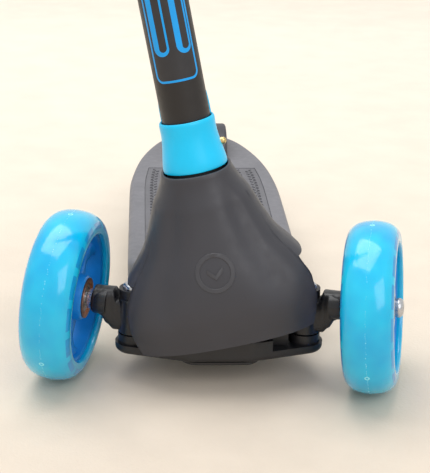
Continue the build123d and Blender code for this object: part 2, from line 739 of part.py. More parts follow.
def rear_hub():
    body = rod_x(24, -9, 9) + rod_x(28, -8, 8) - rod_x(21, -20, -3) - rod_x(21, 3, 20)
    body += rod_x(14, -10.5, 10.5)
    for k in range(6):
        body += Rot(k * 60, 0, 0) * block(-8, 8, -1.6, 1.6, 12, 22)
    body -= rod_x(bearing_r, -10.5, -3.5) + rod_x(bearing_r, 3.5, 10.5)
    body -= rod_x(axle_r + 2, -20, 20)
    return Pos(0, rear_y, rear_z) * body


def rear_bearings():
    pair = [bearing(-10.5, -3.5), bearing(3.5, 10.5)]
    return Pos(0, rear_y, rear_z) * group(pair)


def rear_axle():
    bolt = rod_x(axle_r, -slot_half - 7.5, slot_half + 13, rear_y, rear_z)
    head = Pos(-slot_half - 6, rear_y, rear_z) * Rot(0, -90, 0) * pan_head(7.5, 4.6)
    return bolt + head


def rear_axle_nut():
    nut = Pos(slot_half + 6, rear_y, rear_z) * Rot(0, 90, 0) * extrude(RegularPolygon(7.5, 6), amount=7)
    return nut - rod_x(axle_r, 0, 60, rear_y, rear_z)


def rear_spacers():
    spacers = []
    for side in (-1, 1):
        low, high = sorted((side * 10.8, side * slot_half))
        spacers.append(rod_x(6.0, low, high, rear_y, rear_z) - rod_x(axle_r, -60, 60, rear_y, rear_z))
    return group(spacers)


def brake_fender():
    """Sprung mudguard over the rear wheel, pressed down on the tyre to brake."""
    half = 25.0
    arc = rod_x(fender_outer, -half, half) - rod_x(fender_inner, -half - 1, half + 1)
    arc = fillet(arc.edges().filter_by(GeomType.CIRCLE).group_by(SortBy.RADIUS)[-1], 2.6)
    arc = Pos(0, rear_y, rear_z) * arc
    front, rear = rear_y - 38, rear_y + 60
    rise = (rear - brake_y) * math.tan(math.radians(brake_travel + 0.4))
    edge = Polyline([(front, 1.4), (rear, 1.4 + rise), (rear, 60), (front, 60)], close=True)
    above = extrude(Plane.YZ * make_face(edge), amount=half, both=True)
    keep = above + block(-slot_half + 0.7, slot_half - 0.7, rear_y - 46, rear_y + 60, -10, 2)
    body = arc & keep
    side_walls = rod_x(fender_inner + 0.5, -half, half) - rod_x(fender_inner + 0.5, -half + 3, half - 3)
    side_walls = Pos(0, rear_y, rear_z) * side_walls
    body += side_walls & above
    plate = block(-slot_half + 0.7, slot_half - 0.7, brake_y, rear_y - 30, brake_z + 1.0, brake_z + 4.2)
    body += plate - Pos(0, rear_y, rear_z) * rod_x(fender_inner, -30, 30)
    body += rod_x(5.0, -slot_half + 0.7, slot_half - 0.7, brake_y, brake_z)
    body -= rod_x(3.0 + running, -40, 40, brake_y, brake_z)
    body -= rod_x(5.6, -6.0, 6.0, brake_y, brake_z)
    return body


def brake_pin():
    return rod_x(3.0, -slot_half - 5.5, slot_half + 5.5, brake_y, brake_z)


def brake_spring():
    """Close-wound torsion spring on the brake pin."""
    wire, turns = 0.8, 6
    rings = []
    for k in range(turns):
        x = (k - (turns - 1) / 2) * 1.5
        rings.append(Pos(x, 0) * Pos(0, 4.1) * Circle(wire))
    band = rings[0]
    for ring in rings[1:]:
        band += ring
    coil = revolve(band, Axis.X, 360)
    return Pos(0, brake_y, brake_z) * coil


# ---- Build --------------------------------------------------------------------------------
def build():
    single = [
        deck_shell, grip_mat, front_base, deck_screws, under_cover, under_cover_screws,
        kingpin_bolts, kingpin_nuts, lean_bolt, lean_nut, lean_stops, tie_bar, tie_pins,
        steering_head, lean_bushes, nose_cover, cover_screws, cover_badge, collar, lower_tube,
        snap_button, button_spring, clamp_band, clamp_bolt, clamp_nut, clamp_lever,
        upper_tube, tee_joint, crossbar, bar_plugs,
        rear_tyre, rear_hub, rear_bearings, rear_axle, rear_axle_nut, rear_spacers,
        brake_fender, brake_pin, brake_spring,
    ]
    for make in single:
        save(make(), make.__name__)
    for side, name in ((1, "left"), (-1, "right")):
        for make in (knuckle, axle_bolt, axle_washers, wheel_core, wheel_tyre, wheel_lights,
                     wheel_bearings, dynamo_ring, grip):
            save(make(side), f"{make.__name__}_{name}")


os.makedirs("parts", exist_ok=True)
build()
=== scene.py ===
"""Looks of a child's three-wheel kick scooter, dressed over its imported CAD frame.

Sizes in the sections are millimetres; the frame itself is in metres. +Z is up, +X is the scooter's
left and -Y is forward.
"""

import json
import math
import random

import bmesh
import bpy
from mathutils import Matrix, Vector
from mathutils.bvhtree import BVHTree


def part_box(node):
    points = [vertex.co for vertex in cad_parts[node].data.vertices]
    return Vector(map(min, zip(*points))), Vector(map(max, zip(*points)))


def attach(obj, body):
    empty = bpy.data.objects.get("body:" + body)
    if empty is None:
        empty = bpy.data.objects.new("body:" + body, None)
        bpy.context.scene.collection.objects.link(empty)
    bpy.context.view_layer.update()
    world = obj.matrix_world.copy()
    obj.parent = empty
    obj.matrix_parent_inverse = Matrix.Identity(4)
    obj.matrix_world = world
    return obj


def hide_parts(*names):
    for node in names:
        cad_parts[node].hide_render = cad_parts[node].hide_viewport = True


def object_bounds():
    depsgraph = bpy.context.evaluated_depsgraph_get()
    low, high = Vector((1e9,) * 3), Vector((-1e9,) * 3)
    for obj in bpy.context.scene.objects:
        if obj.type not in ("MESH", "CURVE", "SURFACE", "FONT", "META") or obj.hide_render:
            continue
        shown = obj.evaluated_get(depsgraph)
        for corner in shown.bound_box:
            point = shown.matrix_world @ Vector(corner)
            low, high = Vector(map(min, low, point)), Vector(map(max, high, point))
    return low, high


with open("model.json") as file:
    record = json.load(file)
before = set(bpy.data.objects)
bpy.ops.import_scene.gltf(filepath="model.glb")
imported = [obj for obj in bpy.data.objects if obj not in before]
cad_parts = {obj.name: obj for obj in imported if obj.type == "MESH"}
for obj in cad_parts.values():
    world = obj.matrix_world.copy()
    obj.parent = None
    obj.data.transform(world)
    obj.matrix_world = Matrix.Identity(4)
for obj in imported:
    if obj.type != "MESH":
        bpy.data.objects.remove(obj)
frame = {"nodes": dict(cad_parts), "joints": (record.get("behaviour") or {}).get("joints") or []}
cad_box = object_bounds()
joint = {j["name"]: j for j in frame["joints"]}
mm = 0.001

# ---- Camera --------------------------------------------------------------------------------
# A person standing in front of the scooter looks down on its front wheels, a little from its
# right, with a long lens held very slightly off level.
lens = bpy.data.cameras.new("viewpoint")
lens.sensor_width, lens.lens = 36.0, 102.75
camera = bpy.data.objects.new("viewpoint", lens)
bpy.context.scene.collection.objects.link(camera)
standpoint, sight, tilt = Vector((-0.0548, -1.0968, 0.3665)), Vector((0.0545, 0.9364, -0.3466)), 1.22
camera.matrix_world = (Matrix.Translation(standpoint)
                       @ sight.to_track_quat("-Z", "Y").to_matrix().to_4x4()
                       @ Matrix.Rotation(math.radians(tilt), 4, "Z"))
lens.clip_start, lens.clip_end = 0.05, 60.0
bpy.context.scene.camera = camera
bpy.context.scene.view_settings.view_transform = "Standard"


# ---- Floor and studio light ----------------------------------------------------------------
# Pale cream floor that runs out of sight, lit by the room and by one large soft panel overhead,
# with a weaker panel behind the camera. Its colour is painted darker towards the camera as painted shade.
def tone(red, green, blue):
    """Colour as it is seen on a screen, 0 to 255, made linear for a shader."""
    seen = [c / 255 for c in (red, green, blue)]
    return [c / 12.92 if c < 0.04 else ((c + 0.055) / 1.055) ** 2.4 for c in seen] + [1.0]


def blank_material(name):
    material = bpy.data.materials.new(name)
    material.use_nodes = True
    return material, material.node_tree.nodes, material.node_tree.links


def cloud(nodes, links, size, detail=2.0, stretch=(1, 1, 1), softness=0.5):
    """Noise in the piece's own space, with blotches about this many millimetres across."""
    place = nodes.new("ShaderNodeTexCoord")
    squeeze = nodes.new("ShaderNodeMapping")
    squeeze.inputs["Scale"].default_value = stretch
    noise = nodes.new("ShaderNodeTexNoise")
    noise.inputs["Scale"].default_value = 1 / (size * mm)
    noise.inputs["Detail"].default_value = detail
    noise.inputs["Roughness"].default_value = softness
    links.new(place.outputs["Object"], squeeze.inputs["Vector"])
    links.new(squeeze.outputs["Vector"], noise.inputs["Vector"])
    return noise.outputs["Fac"]


def spread(nodes, links, source, low, high):
    """Maps the middle of a noise to the range from low to high."""
    scale = nodes.new("ShaderNodeMapRange")
    scale.inputs["From Min"].default_value, scale.inputs["From Max"].default_value = 0.3, 0.7
    scale.inputs["To Min"].default_value, scale.inputs["To Max"].default_value = low, high
    links.new(source, scale.inputs["Value"])
    return scale.outputs["Result"]


def blotched(nodes, links, source, dark, light):
    """Colour that drifts between two shades."""
    ramp = nodes.new("ShaderNodeValToRGB")
    ramp.color_ramp.elements[0].position, ramp.color_ramp.elements[1].position = 0.32, 0.68
    ramp.color_ramp.elements[0].color, ramp.color_ramp.elements[1].color = dark, light
    links.new(source, ramp.inputs["Fac"])
    return ramp.outputs["Color"]


def floor_finish():
    material, nodes, links = blank_material("cream_floor")
    shader = nodes["Principled BSDF"]
    place = nodes.new("ShaderNodeTexCoord")
    split = nodes.new("ShaderNodeSeparateXYZ")
    links.new(place.outputs["Object"], split.inputs["Vector"])
    # Painted shade: the floor's colour runs from darker beige near the camera to pale cream far away,
    # standing in for the overhead light's fall-off.
    depth = nodes.new("ShaderNodeMapRange")
    depth.inputs["From Min"].default_value, depth.inputs["From Max"].default_value = -0.75, 0.95
    links.new(split.outputs["Y"], depth.inputs["Value"])
    ramp = nodes.new("ShaderNodeValToRGB")
    ramp.color_ramp.elements[0].color = tone(212, 197, 180)
    ramp.color_ramp.elements[1].color = tone(245, 236, 221)
    links.new(depth.outputs["Result"], ramp.inputs["Fac"])
    patches = spread(nodes, links, cloud(nodes, links, 45, 5), 0.94, 1.0)
    tint = nodes.new("ShaderNodeMix")
    tint.data_type, tint.blend_type = "RGBA", "MULTIPLY"
    tint.inputs["Factor"].default_value = 1.0
    links.new(ramp.outputs["Color"], tint.inputs["A"])
    links.new(patches, tint.inputs["B"])
    links.new(tint.outputs["Result"], shader.inputs["Base Color"])
    links.new(spread(nodes, links, cloud(nodes, links, 25, 3), 0.55, 0.75), shader.inputs["Roughness"])
    bump = nodes.new("ShaderNodeBump")
    bump.inputs["Distance"].default_value = 0.25 * mm
    links.new(cloud(nodes, links, 2.5, 4), bump.inputs["Height"])
    links.new(bump.outputs["Normal"], shader.inputs["Normal"])
    return material


floor_mesh = bpy.data.meshes.new("floor")
reach, level = 9.0, cad_box[0].z
floor_mesh.from_pydata([(-reach, -reach, level), (reach, -reach, level), (reach, reach, level),
                        (-reach, reach, level)], [], [(0, 1, 2, 3)])
floor_mesh.materials.append(floor_finish())
floor = bpy.data.objects.new("floor", floor_mesh)
bpy.context.scene.collection.objects.link(floor)

room = bpy.data.worlds.new("room")
room.use_nodes = True
room.node_tree.nodes["Background"].inputs["Color"].default_value = (1.0, 0.985, 0.96, 1)
room.node_tree.nodes["Background"].inputs["Strength"].default_value = 0.8
bpy.context.scene.world = room


def soft_panel(name, place, aim, width, power, colour=(1, 1, 1)):
    light = bpy.data.lights.new(name, "AREA")
    light.shape, light.size, light.energy, light.color = "SQUARE", width, power, colour
    lamp = bpy.data.objects.new(name, light)
    bpy.context.scene.collection.objects.link(lamp)
    look = Vector(aim) - Vector(place)
    lamp.matrix_world = Matrix.Translation(place) @ look.to_track_quat("-Z", "Y").to_matrix().to_4x4()


soft_panel("overhead", (-0.35, 0.1, 2.0), (0, -0.2, 0), 1.7, 30)
soft_panel("front_fill", (0.9, -2.1, 1.5), (0, -0.3, 0.0), 1.5, 16, (0.97, 0.97, 1.0))


# ---- Deck ----------------------------------------------------------------------------------
# One injection moulding in grey glass-filled polypropylene, with ribs under its flat top and a
# window at the tail for the rear wheel. Its mould is spark-eroded, so the skin has a fine grain.
def finish(name, colour, gloss, grain, depth, drift=0.1, patch=14.0, metallic=0.0, coat=0.0,
           stretch=(1, 1, 1)):
    """Moulded, painted or plated finish: colour that drifts a little, uneven gloss, and a grain of
    this size and depth in millimetres. gloss is the lowest and highest roughness."""
    material, nodes, links = blank_material(name)
    shader = nodes["Principled BSDF"]
    shader.inputs["Metallic"].default_value = metallic
    shader.inputs["Coat Weight"].default_value = coat
    shader.inputs["Coat Roughness"].default_value = 0.12
    dark = [c * (1 - drift) for c in colour[:3]] + [1]
    light = [min(c * (1 + drift), 1) for c in colour[:3]] + [1]
    patches = cloud(nodes, links, patch, 3, stretch)
    links.new(blotched(nodes, links, patches, dark, light), shader.inputs["Base Color"])
    uneven = cloud(nodes, links, patch / 4, 4, stretch)
    links.new(spread(nodes, links, uneven, *gloss), shader.inputs["Roughness"])
    bump = nodes.new("ShaderNodeBump")
    bump.inputs["Distance"].default_value = depth * mm
    links.new(cloud(nodes, links, grain, 3, stretch, 0.6), bump.inputs["Height"])
    links.new(bump.outputs["Normal"], shader.inputs["Normal"])
    return material


def dress(material, slot, *names):
    """Gives kept CAD nodes their finish."""
    for name in names:
        node = frame["nodes"][name]
        for k in range(max(len(node.material_slots), 1)):
            if node.material_slots:
                node.material_slots[k].material = material


deck_grey = finish("deck_grey", tone(112, 112, 118), (0.42, 0.58), 0.55, 0.05, 0.07, 22)
dress(deck_grey, "deck_plastic", "deck_shell")


# ---- Grip mat ------------------------------------------------------------------------------
# Soft grey sheet bonded in the deck's shallow pocket, with raised chevrons all over and two rows
# of them following its edge, so that a wet shoe doesn't slide.
def piece(name, shape, place, body, slot, material, *stands_for, crease=32.0):
    """Makes one piece from (points, faces) in millimetres, puts it in place and hands it to its body."""
    mesh = bpy.data.meshes.new(name)
    mesh.from_pydata([place @ (Vector(p) * mm) for p in shape[0]], [], shape[1])
    work = bmesh.new()
    work.from_mesh(mesh)
    bmesh.ops.recalc_face_normals(work, faces=work.faces)
    work.to_mesh(mesh)
    work.free()
    mesh.set_sharp_from_angle(angle=math.radians(crease))
    mesh.materials.append(material)
    made = bpy.data.objects.new(name, mesh)
    bpy.context.scene.collection.objects.link(made)
    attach(made, body)
    if stands_for:
        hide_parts(*stands_for)
    return made


def join(*shapes):
    """Several shapes as one."""
    points, faces = [], []
    for more_points, more_faces in shapes:
        faces += [tuple(k + len(points) for k in face) for face in more_faces]
        points += list(more_points)
    return points, faces


def loft(sections, capped=True, ring=False):
    """Skin over sections that have the same number of points. ring joins the last to the first."""
    count, rows = len(sections[0]), len(sections)
    points = [p for section in sections for p in section]
    faces = []
    for row in range(rows if ring else rows - 1):
        a, b = row * count, (row + 1) % rows * count
        faces += [(a + k, a + (k + 1) % count, b + (k + 1) % count, b + k) for k in range(count)]
    if capped and not ring:
        faces += [tuple(range(count)), tuple(range((rows - 1) * count, rows * count))]
    return points, faces


def soften(made, width, segments=2, angle=35.0):
    """Rounds the piece's sharp edges by this many millimetres."""
    bevel = made.modifiers.new("rounded_edges", "BEVEL")
    bevel.width, bevel.segments, bevel.limit_method = width * mm, segments, "ANGLE"
    bevel.angle_limit = math.radians(angle)
    bevel.harden_normals = True
    return made


mat_low, mat_floor, mat_top = -1.55, -0.95, 0.0
mat_start, mat_end, mat_half, tail_end = -158.7, 74.7, 51.7, 181.0
tail_power = 2.15   # 2 would make the tail a true ellipse


def mat_edge(y, inset=0.0):
    """Half width of the mat at this distance along the deck."""
    share = max(y, 0.0) / tail_end
    half = mat_half * (1 - share ** tail_power) ** (1 / tail_power)
    corner = 10.0
    ahead = mat_start + corner - y
    if ahead > 0:
        half -= corner - math.sqrt(max(corner ** 2 - ahead ** 2, 0.0))
    return half - inset


def tread_block(x, y, turn, height, width):
    """One raised chevron with sloping sides."""
    arm, thick = height / 2, width
    outline = [(-arm, -arm * 0.55), (0, arm * 0.35), (arm, -arm * 0.55), (arm, -arm * 0.55 + thick),
               (0, arm * 0.35 + thick), (-arm, -arm * 0.55 + thick)]
    c, s = math.cos(turn), math.sin(turn)
    sections = []
    for z, shrink in ((mat_floor - 0.1, 1.0), (mat_floor + 0.55, 0.93), (mat_top, 0.78)):
        middle = arm * 0.1 + thick / 2 - arm * 0.2
        placed = [(px * (0.9 + 0.1 * shrink), middle + (py - middle) * shrink) for px, py in outline]
        sections.append([(x + px * c - py * s, y + px * s + py * c, z) for px, py in placed])
    return loft(sections)


mat_rows = [mat_start + (mat_end - mat_start) * (1 - math.cos(math.pi * k / 60)) / 2 for k in range(61)]
outline = [(mat_edge(y), y) for y in mat_rows] + [(-mat_edge(y), y) for y in reversed(mat_rows)]
sheet = loft([[(x * scale, y, z) for x, y in outline]
              for z, scale in ((mat_low, 1.0), (mat_floor - 0.25, 1.0), (mat_floor, 0.994))])
blocks = []
for side in (-1, 1):
    y = mat_start + 9
    while y < mat_end - 5:
        slope = (mat_edge(y + 2) - mat_edge(y - 2)) / 4
        for inset in (6.5, 17.0):
            turn = side * (math.pi / 2) - side * math.atan(slope)
            blocks.append(tread_block(side * mat_edge(y, inset), y, turn, 8.6, 2.3))
        y += 7.4
for row in range(24):
    for column in range(-2, 3):
        y = mat_start + 14 + row * 9.2 + (column % 2) * 4.6
        if y < mat_end - 6:
            blocks.append(tread_block(column * 11.6, y, 0.0, 8.6, 2.2))
mat_grey = finish("mat_grey", tone(104, 104, 109), (0.6, 0.78), 0.4, 0.06, 0.08, 18)
piece("grip_mat_tread", join(sheet, *blocks), Matrix.Identity(4), "root", "grip_rubber", mat_grey,
      "grip_mat", crease=24)


# ---- Front base ----------------------------------------------------------------------------
# Black glass-filled nylon moulding screwed under the deck's nose. It carries the kingpins in its
# ears and the steering head between its two cheeks.
base_black = finish("base_black", tone(27, 27, 30), (0.34, 0.5), 0.5, 0.045, 0.1, 16)
dress(base_black, "black_plastic", "front_base")

# ---- Fixings of the base ------------------------------------------------------------------
# Zinc-plated steel screws, kingpins, nuts and the long pivot bolt. The plating is bright, with
# faint cloudy patches from the bath.
zinc = finish("zinc_plate", tone(196, 198, 202), (0.2, 0.36), 1.2, 0.012, 0.05, 6, metallic=1.0)
dress(zinc, "zinc_steel", "deck_screws", "under_cover_screws", "kingpin_bolts", "kingpin_nuts",
      "lean_bolt", "lean_nut")

# ---- Under cover and rubber stops ---------------------------------------------------------
# A thin black lid screwed below the base keeps grit out of the steering, and two rubber blocks
# end the lean of the head.
dress(base_black, "black_plastic", "under_cover")
stop_rubber = finish("stop_rubber", tone(28, 28, 29), (0.7, 0.88), 0.8, 0.05, 0.12, 6)
dress(stop_rubber, "stop_rubber", "lean_stops")

# ---- Tie bar -------------------------------------------------------------------------------
# Flat black nylon bar that joins both knuckles, with steel pins in its ends. The head's tongue
# pushes it sideways as the bar leans.
dress(base_black, "black_plastic", "tie_bar")
dress(zinc, "zinc_steel", "tie_pins")

# ---- Knuckles ------------------------------------------------------------------------------
# Black nylon arms, moulded round the axle bolts. Each swells from the kingpin boss under the
# cover, thins towards the wheel, and ends in a round boss against the wheel's bearing.
sides = (("left", 1), ("right", -1))
knuckle_black = finish("knuckle_black", tone(26, 27, 31), (0.26, 0.4), 0.6, 0.03, 0.12, 20)
wheel_half = 18.0


def level_frame(name, side):
    """Frame on a kingpin: X runs outboard level with the axle, Y runs back, Z is up."""
    axle = Vector(joint["spin_" + name]["axis"]) * side
    outboard = Vector((axle.x, axle.y, 0)).normalized()
    back = Vector((-outboard.y, outboard.x, 0)) * side
    at = Vector(joint["steer_" + name]["pos_m"])
    return Matrix(((outboard.x, back.x, 0, at.x), (outboard.y, back.y, 0, at.y), (0, 0, 1, 0),
                   (0, 0, 0, 1)))


def wheel_frame(name, side):
    """Frame at a wheel's centre: X runs outboard along the axle, Y runs back."""
    axle = Vector(joint["spin_" + name]["axis"]) * side
    back = Vector((0, 0, 1)).cross(axle).normalized() * side
    up = axle.cross(back) * side
    at = Vector(joint["spin_" + name]["pos_m"])
    return Matrix(((axle.x, back.x, up.x, at.x), (axle.y, back.y, up.y, at.y),
                   (axle.z, back.z, up.z, at.z), (0, 0, 0, 1)))


def squircle(half_y, half_z, power=3.6, count=32):
    """Rounded rectangle of that half width and height, as (y, z) points."""
    ring = []
    for k in range(count):
        c, s = math.cos(2 * math.pi * k / count), math.sin(2 * math.pi * k / count)
        ring.append((half_y * math.copysign(abs(c) ** (2 / power), c),
                     half_z * math.copysign(abs(s) ** (2 / power), s)))
    return ring


def ring(section, steps=128):
    """Closed section of (along, radius) points spun about X."""
    turns = [2 * math.pi * k / steps for k in range(steps)]
    return loft([[(a, r * math.sin(t), r * math.cos(t)) for a, r in section] for t in turns], ring=True)


def smooth_run(stations, steps):
    """Rows of numbers eased from station to station; the first number is where the station stands."""
    rows = []
    for a, b in zip(stations, stations[1:]):
        for k in range(steps):
            t = k / steps
            ease = t * t * (3 - 2 * t)
            rows.append([a[0] + (b[0] - a[0]) * t] + [p + (q - p) * ease for p, q in zip(a[1:], b[1:])])
    return rows + [list(stations[-1])]


# Along the arm: centre back, centre up, half depth, half height, squareness.
arm_stations = [
    (2.0, 0.0, -10.6, 8.3, 12.0, 4.5), (10.0, 0.0, -10.6, 8.2, 12.0, 4.5),
    (13.2, -0.8, -7.7, 7.7, 15.0, 4.0), (17.5, -1.8, -5.4, 7.8, 13.2, 3.4),
    (22.0, -3.2, -1.8, 7.9, 10.2, 2.8), (26.0, -4.0, 0.2, 8.0, 9.0, 2.3),
]
for name, side in sides:
    arm = loft([[(x, y0 + y, z0 + z) for y, z in squircle(hy, hz, power)]
                for x, y0, z0, hy, hz, power in smooth_run(arm_stations, 5)])
    boss = loft([[(r * math.cos(2 * math.pi * k / 40), r * math.sin(2 * math.pi * k / 40), z)
                  for k in range(40)] for r, z in ((10.2, -24), (11, -23.2), (11, 1.2), (10.2, 2))])
    lever = loft([[(x, y, z) for x, z in ((-6.5, -24), (6.5, -24), (6.5, -18), (-6.5, -18))]
                  for y in (3, 12)])
    eye = loft([[(r * math.cos(2 * math.pi * k / 32), 20 + r * math.sin(2 * math.pi * k / 32), z)
                 for k in range(32)] for r, z in ((6, -24), (6.6, -23.4), (6.6, -18.6), (6, -18))])
    neck = loft([[(x, y, z) for x, z in ((-5.5, -23.6), (5.5, -23.6), (5.5, -18.4), (-5.5, -18.4))]
                 for y in (10, 20)])
    piece("knuckle_arm_" + name, join(arm, boss, lever, neck, eye), level_frame(name, side),
          "knuckle_" + name, "black_plastic", knuckle_black, "knuckle_" + name, crease=40)
    end = -wheel_half - 1.5
    cap = [(-30, 4.1), (-30, 9.2), (-26, 9.5), (end - 3, 9.5), (end - 1.4, 9.1), (end - 0.4, 8.2),
           (end, 7.0), (end, 4.1)]
    piece("axle_boss_" + name, ring(cap, 64), wheel_frame(name, side), "knuckle_" + name,
          "black_plastic", knuckle_black)

# ---- Axle bolts and washers ----------------------------------------------------------------
# Each front wheel turns on a steel bolt with a low domed head, with a washer on either side of
# its bearings.
for name, side in sides:
    dress(zinc, "zinc_steel", "axle_bolt_" + name, "axle_washers_" + name)


# ---- Front wheel cores ---------------------------------------------------------------------
# Deep blue nylon: a hub barrel, six spokes that flare into the rim, and a castellated flange at
# each edge of the rim that keys the soft tyre moulded round it.
core_blue = finish("core_blue", tone(8, 132, 214), (0.3, 0.44), 0.7, 0.03, 0.1, 12)
notch_blue = finish("notch_blue", tone(0, 96, 170), (0.3, 0.44), 0.7, 0.03, 0.1, 12)
rim_outer, rim_inner, rim_half = 49.0, 43.2, 13.5
tooth_count, tooth_length, tooth_top = 15, 16.0, 55.2


def tooth(end, k):
    """One castellation of the rim's flange, curved with the rim."""
    middle, spread_angle = 2 * math.pi * (k + 0.5) / tooth_count, tooth_length / 2 / tooth_top
    sections = []
    for j in range(5):
        turn = middle + spread_angle * (j / 2 - 1)
        corner = ((12.0, 48.4), (14.2, 48.4), (14.2, tooth_top - 0.5), (13.7, tooth_top),
                  (12.5, tooth_top), (12.0, tooth_top - 0.5))
        sections.append([(end * x, r * math.sin(turn), r * math.cos(turn)) for x, r in corner])
    return loft(sections)


def spoke(k):
    """Rib from hub to rim, flared at both ends and thinner at its middle."""
    turn = 2 * math.pi * k / 6
    sections = []
    for r, half, thick in smooth_run([(14, 7.6, 8.6), (20, 5.2, 7.4), (32, 3.6, 6.0), (40, 5.0, 7.2),
                                      (44, 8.4, 9.4)], 4):
        sections.append([(x, y * math.cos(turn) + r * math.sin(turn), r * math.cos(turn) - y * math.sin(turn))
                         for y, x in squircle(half, thick, 5.0, 20)])
    return loft(sections)


for name, side in sides:
    rim = ring([(-rim_half, rim_inner + 1), (-rim_half + 1, rim_inner), (rim_half - 1, rim_inner),
                (rim_half, rim_inner + 1), (rim_half, rim_outer), (-rim_half, rim_outer)])
    hub = ring([(-14.5, 11.1), (-14.5, 14.2), (-13.5, 15.4), (-9, 16.4), (9, 16.4), (13.5, 15.4),
                (14.5, 14.6), (14.5, 11.1), (7.4, 11.1), (7.4, 6), (-7.4, 6), (-7.4, 11.1)], 72)
    body = join(rim, hub, *[spoke(k) for k in range(6)])
    piece("wheel_spider_" + name, body, wheel_frame(name, side), "wheel_" + name, "core_blue",
          core_blue, "wheel_core_" + name, crease=36)
    teeth = join(*[tooth(end, k) for end in (-1, 1) for k in range(tooth_count)])
    piece("rim_teeth_" + name, teeth, wheel_frame(name, side), "wheel_" + name, "core_blue", notch_blue)

# ---- Wheel lamps, bearings and winding -----------------------------------------------------
# Three clear lamp capsules sit under the tyre, fed by a copper winding round the inboard
# bearing. The bearings are shielded ball races.
lamp_clear = finish("lamp_clear", tone(120, 225, 250), (0.08, 0.16), 1.5, 0.01, 0.05, 6)
lamp_clear.node_tree.nodes["Principled BSDF"].inputs["Transmission Weight"].default_value = 0.5
race_steel = finish("race_steel", tone(170, 172, 176), (0.22, 0.34), 0.6, 0.01, 0.06, 4, metallic=1.0)
copper = finish("copper_winding", tone(196, 130, 96), (0.26, 0.42), 0.5, 0.03, 0.14, 3, metallic=1.0)
for name, side in sides:
    dress(lamp_clear, "lamp_clear", "wheel_lights_" + name)
    dress(race_steel, "zinc_steel", "wheel_bearings_" + name)
    dress(copper, "copper", "dynamo_ring_" + name)


# ---- Front tyres ---------------------------------------------------------------------------
# Clear cyan polyurethane cast round the core, 36 mm wide, with a crowned tread and flat sides.
# A hairline of flash runs round the crown, with a trimmed gate over each lamp.
def tyre_finish(name, colour, deep, milk):
    """Clear tinted polyurethane: light goes in and comes back milky from the middle of the crown."""
    material, nodes, links = blank_material(name)
    shader = nodes["Principled BSDF"]
    drift = cloud(nodes, links, 24, 2)
    links.new(blotched(nodes, links, drift, deep, colour), shader.inputs["Base Color"])
    shader.inputs["Transmission Weight"].default_value = milk
    shader.inputs["IOR"].default_value = 1.42
    shader.inputs["Coat Weight"].default_value = 0.5
    shader.inputs["Coat Roughness"].default_value = 0.1
    links.new(spread(nodes, links, cloud(nodes, links, 5, 3), 0.1, 0.24), shader.inputs["Roughness"])
    bump = nodes.new("ShaderNodeBump")
    bump.inputs["Distance"].default_value = 0.06 * mm
    links.new(cloud(nodes, links, 3.5, 3, softness=0.55), bump.inputs["Height"])
    links.new(bump.outputs["Normal"], shader.inputs["Normal"])
    return material


tyre_cyan = tyre_finish("tyre_cyan", tone(26, 214, 255), tone(0, 190, 246), 0.2)
window_blue = finish("window_blue", tone(0, 150, 214), (0.12, 0.22), 0.7, 0.01, 0.08, 6, coat=0.5)
flash_white = finish("flash_white", tone(150, 236, 250), (0.3, 0.5), 0.6, 0.03, 0.06, 3)
crown = 59.8
half_tyre = [(12.5, 48.2), (12.5, 45.8), (14.0, 45.3), (16.2, 45.3), (17.2, 45.7), (17.65, 46.6),
             (17.75, 48.0), (17.65, 50.0), (17.4, 51.2), (16.9, 52.4), (16.1, 53.8), (15.1, 55.0),
             (13.8, 56.2), (12.2, 57.25), (10.2, 58.2), (7.8, 58.95), (5.2, 59.45), (2.6, 59.72),
             (0.5, crown)]


def shoulder_window(end, k):
    """Flat of the rim's castellation seen flush in the tyre's shoulder, between two bridges."""
    middle, half_turn = 2 * math.pi * (k + 0.5) / tooth_count, 8.0 / 52
    sections = []
    for j in range(9):
        turn = middle + half_turn * (j / 4 - 1)
        skin = ((17.3, 49.4), (17.69, 49.4), (17.69, 50.0), (17.44, 51.2), (16.94, 52.4),
                (16.14, 53.82), (15.7, 53.6), (16.5, 51.8))
        sections.append([(end * x, r * math.sin(turn), r * math.cos(turn)) for x, r in skin])
    return loft(sections)


for name, side in sides:
    section = [(-x, r) for x, r in half_tyre] + [(x, r) for x, r in reversed(half_tyre)]
    piece("tyre_" + name, ring(section, 192), wheel_frame(name, side), "wheel_" + name, "tyre_clear",
          tyre_cyan, "wheel_tyre_" + name, crease=26)
    windows = join(*[shoulder_window(end, k) for end in (-1, 1) for k in range(tooth_count)])
    piece("shoulder_windows_" + name, windows, wheel_frame(name, side), "wheel_" + name, "core_blue",
          window_blue)
    chance = random.Random(7 + side)
    bits = []
    for k in range(230):
        turn, width = 2 * math.pi * k / 230, chance.uniform(0.12, 0.34)
        length, high = chance.uniform(0.2, 0.75), chance.uniform(0.02, 0.16)
        if chance.random() < 0.3:
            continue
        shift = chance.uniform(-0.35, 0.35)
        sections = []
        for r, shrink in ((crown - 0.3, 1.0), (crown + high, 0.5)):
            sections.append([(shift + x * width * shrink,
                              r * math.sin(turn + y * length * shrink / crown),
                              r * math.cos(turn + y * length * shrink / crown))
                             for x, y in ((-1, -1), (1, -1), (1, 1), (-1, 1))])
        bits.append(loft(sections))
    for k in range(3):
        turn = 2 * math.pi * k / 3
        gate = [[(r * math.cos(q), r * math.sin(q), z) for q in [math.pi * j / 8 for j in range(16)]]
                for r, z in ((1.9, crown - 0.6), (1.8, crown - 0.02), (1.2, crown + 0.16),
                             (0.9, crown - 0.1))]
        c, s = math.cos(turn), math.sin(turn)
        bits.append(loft([[(x, y * c + z * s, z * c - y * s) for x, y, z in section]
                          for section in gate]))
    piece("tyre_flash_" + name, join(*bits), wheel_frame(name, side), "wheel_" + name, "tyre_clear",
          flash_white)

